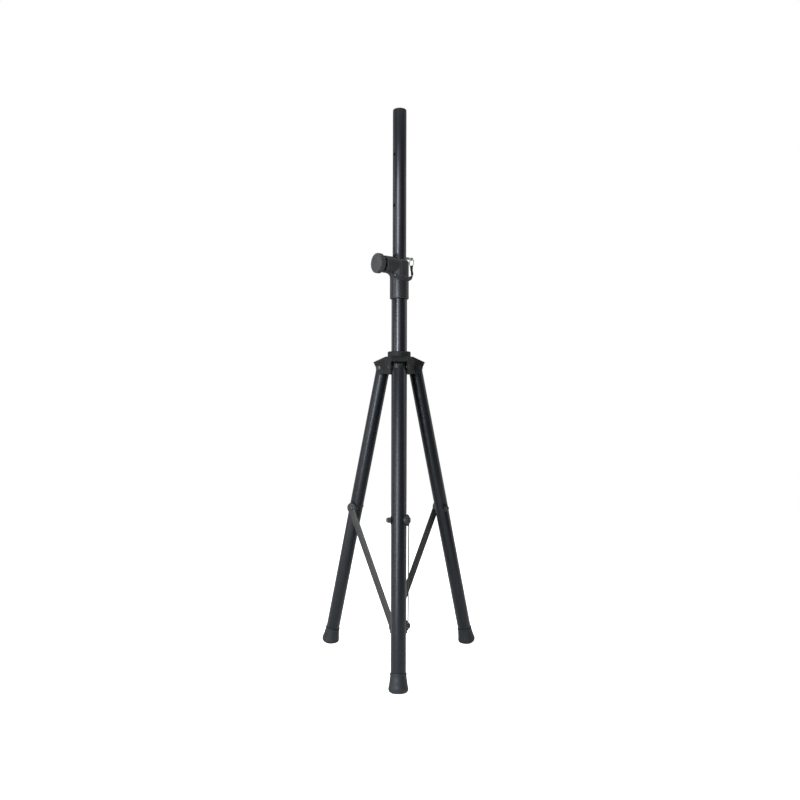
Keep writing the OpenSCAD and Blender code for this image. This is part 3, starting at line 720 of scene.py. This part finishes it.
def lanyard():
    """The strap and the stitches that hold its fold."""
    course = strap_course()
    sections, places = strap_sections(course)
    verts, faces = loft(sections)
    strap = new_piece("strap", scaled(Matrix.Identity(4), verts), faces, strap_weave, None, "lanyard_strap")
    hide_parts("lanyard")
    uv = strap.data.attributes.new("strap_uv", "FLOAT_VECTOR", "POINT")
    uv.data.foreach_set("vector", [value for place in places for value in place])
    stitches = new_piece("strap_stitches", *strap_stitches(), thread, None, "lanyard_strap")
    for piece in (strap, stitches):
        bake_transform(piece)


def strap_stitches():
    """Two rows of short stitches across the fold, on its outer face."""
    fold = axis_frame(Vector((0, 0, wire_z * MM)), pin_out)
    outer_face = ring_distance + layer_offset + strap_t / 2
    stitch_pitch, stitch_len, stitch_steps = 1.5, 1.15, 6
    stitches = []
    for drop in (8.0, 10.2):
        for k in range(5):
            middle = (k - 2) * stitch_pitch
            rows = []
            for step in range(stitch_steps + 1):
                t = step / stitch_steps
                thick = 0.05 + 0.2 * math.sin(math.pi * t) ** 0.5
                lift = outer_face + 0.16 * math.sin(math.pi * t) - 0.05
                place = middle + (t - 0.5) * stitch_len
                rows.append([(-drop + a, place, lift + b) for a, b in oval(thick, thick, 2.0, 8)])
            stitches.append(loft(rows))
    verts, faces = joined(*stitches)
    return scaled(fold, verts), faces


# ---------------------------------------------------------------- screws


def threaded_screw(name, node, knob_joint):
    """A screw with a cut thread, in place of a plain CAD cylinder on a knob's axis."""
    pitch, depth = 1.5, 0.55
    origin, axis = joint_line(knob_joint)
    low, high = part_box(node)
    corners = [Vector((x, y, z)) for x in (low.x, high.x) for y in (low.y, high.y) for z in (low.z, high.z)]
    radius = (high.z - low.z) / 2 / MM
    screw_frame = axis_frame(Vector((0, 0, origin.z)), axis)
    # A box round a slanting cylinder reaches past its ends by its radius times the other part of the slant
    reach = [corner.dot(axis) / MM for corner in corners]
    slack = 2 * radius * abs(axis.x * axis.y)
    start, end = min(reach) + slack, max(reach) - slack
    columns, rows_per_pitch = 40, 8
    chamfer_len, chamfer_depth = 0.8, 0.5
    rows = int((end - start) / pitch * rows_per_pitch)
    sections = []
    for row in range(rows + 1):
        along = start + (end - start) * row / rows
        chamfer = chamfer_depth * (1 - min(1.0, (along - start) / chamfer_len))
        section = []
        for column in range(columns):
            turn = column / columns
            phase = (along / pitch - turn) % 1.0
            groove = abs(2 * phase - 1)
            r = radius - 0.03 - depth * smooth(1.4 * groove - 0.2) - chamfer
            section.append((r * math.cos(math.tau * turn), r * math.sin(math.tau * turn), along))
        sections.append(section)
    verts, faces = loft(sections)
    screw = new_piece(name, scaled(screw_frame, verts), faces, black_plate, body_with(node), "black_steel")
    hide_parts(node)


# ---------------------------------------------------------------- stage, lights and camera


def stage_floor():
    """A pale round floor that fades into the backdrop long before its rim."""
    radius, fade_start, fade_end = 6.0, 1.0, 3.0
    mesh = bpy.data.meshes.new("floor")
    shape = bmesh.new()
    bmesh.ops.create_circle(shape, cap_ends=True, segments=96, radius=radius)
    shape.to_mesh(mesh)
    shape.free()
    floor = bpy.data.objects.new("floor", mesh)
    floor.location.z = -0.2 * MM
    bpy.context.scene.collection.objects.link(floor)
    g = Graph("pale_floor")
    far = g.add("ShaderNodeVectorMath", {"operation": "LENGTH"})
    g.feed(far.inputs[0], g.object_space)
    fade = g.remap(far.outputs["Value"], fade_start, fade_end, 0.0, 1.0)
    dull = g.add("ShaderNodeBsdfDiffuse", Color=g.blend(g.noise(3, detail=4), grey(0.90), grey(0.93)))
    seen = g.add("ShaderNodeLightPath").outputs["Is Camera Ray"]
    lit = g.add("ShaderNodeEmission", Color=grey(1.0), Strength=seen)
    bright = g.add("ShaderNodeAddShader")
    g.feed(bright.inputs[0], dull.outputs["BSDF"])
    g.feed(bright.inputs[1], lit.outputs["Emission"])
    clear = g.add("ShaderNodeBsdfTransparent")
    mix = g.add("ShaderNodeMixShader")
    g.feed(mix.inputs[0], fade)
    g.feed(mix.inputs[1], bright.outputs["Shader"])
    g.feed(mix.inputs[2], clear.outputs["BSDF"])
    out = g.add("ShaderNodeOutputMaterial")
    g.feed(out.inputs["Surface"], mix.outputs["Shader"])
    mesh.materials.append(g.material)


def studio_world():
    """A white backdrop for the camera.

    What lights the stand and is mirrored in its paint is dimmer: a dim room on the camera's side and a
    brighter wall behind.
    """
    front_level, back_level = 0.16, 0.42
    world = bpy.data.worlds.new("studio")
    bpy.context.scene.world = world
    world.use_nodes = True
    tree = world.node_tree
    tree.nodes.clear()
    coords = tree.nodes.new("ShaderNodeTexCoord")
    split = tree.nodes.new("ShaderNodeSeparateXYZ")
    tree.links.new(coords.outputs["Generated"], split.inputs[0])
    behind = tree.nodes.new("ShaderNodeMapRange")
    behind.interpolation_type = "SMOOTHSTEP"
    behind.inputs["From Min"].default_value = -0.35
    behind.inputs["From Max"].default_value = 0.25
    behind.inputs["To Min"].default_value = front_level
    behind.inputs["To Max"].default_value = back_level
    tree.links.new(split.outputs["Y"], behind.inputs["Value"])
    path = tree.nodes.new("ShaderNodeLightPath")
    seen = tree.nodes.new("ShaderNodeMath")
    seen.operation = "MAXIMUM"
    tree.links.new(path.outputs["Is Camera Ray"], seen.inputs[0])
    tree.links.new(behind.outputs["Result"], seen.inputs[1])
    light = tree.nodes.new("ShaderNodeBackground")
    light.inputs["Color"].default_value = (1.0, 1.0, 1.0, 1)
    tree.links.new(seen.outputs[0], light.inputs["Strength"])
    out = tree.nodes.new("ShaderNodeOutputWorld")
    tree.links.new(light.outputs[0], out.inputs["Surface"])


def softbox(name, azimuth, distance, height, width, tall, power, colour):
    """An area light aimed at the middle of the pole.

    Azimuth 0 is on the camera's side of the stand, and a positive one is to its right.
    """
    aim_z = 0.75
    data = bpy.data.lights.new(name, "AREA")
    data.shape = "RECTANGLE"
    data.size = width
    data.size_y = tall
    data.energy = power
    data.color = colour
    light = bpy.data.objects.new(name, data)
    a = math.radians(azimuth)
    light.location = (distance * math.sin(a), -distance * math.cos(a), height)
    towards = Vector((0, 0, aim_z)) - light.location
    light.rotation_euler = towards.to_track_quat("-Z", "Y").to_euler()
    light.visible_camera = False
    bpy.context.scene.collection.objects.link(light)


def studio_lights():
    """A tall cool key on the left, which draws the highlight down the tubes, and weaker lights round it."""
    softbox("key_strip", -27, 2.3, 1.1, 0.70, 2.0, 74, (0.80, 0.89, 1.0))
    softbox("left_fill", -66, 2.4, 0.9, 0.8, 1.8, 15, (1.0, 0.94, 0.88))
    softbox("front_fill", -2, 2.6, 1.6, 1.3, 1.6, 11, (0.92, 0.96, 1.0))
    softbox("right_edge", 112, 2.2, 1.0, 1.0, 2.2, 7, (1.0, 0.98, 0.95))
    softbox("left_edge", -118, 2.2, 1.0, 1.0, 2.2, 5, (0.85, 0.93, 1.0))
    softbox("top", 0, 0.05, 3.0, 2.2, 2.2, 26, (1.0, 1.0, 1.0))


def studio_camera():
    """A level camera opposite the front leg, a little to the right of the pole."""
    place = Vector((0.0024, -1.7233, 0.6555))
    roll = 0.0023
    data = bpy.data.cameras.new("camera")
    data.sensor_width = 36
    data.lens = 30.3
    data.clip_start = 0.05
    camera = bpy.data.objects.new("camera", data)
    camera.matrix_world = (
        Matrix.Translation(place)
        @ Matrix.Rotation(math.radians(90), 4, "X")
        @ Matrix.Rotation(roll, 4, "Z")
    )
    bpy.context.scene.collection.objects.link(camera)
    bpy.context.scene.camera = camera


finish_cad_nodes()
safety_pin()
split_ring()
lanyard()
threaded_screw("clamp_thread", "clamp_screw", "clamp_knob_turn")
threaded_screw("lock_thread", "lock_screw", "lock_knob_turn")
for node_name, node in frame["nodes"].items():
    round_edges(node, edge_radius(node_name) * MM)
stage_floor()
studio_world()
studio_lights()
studio_camera()
bpy.context.scene.view_settings.view_transform = "Standard"
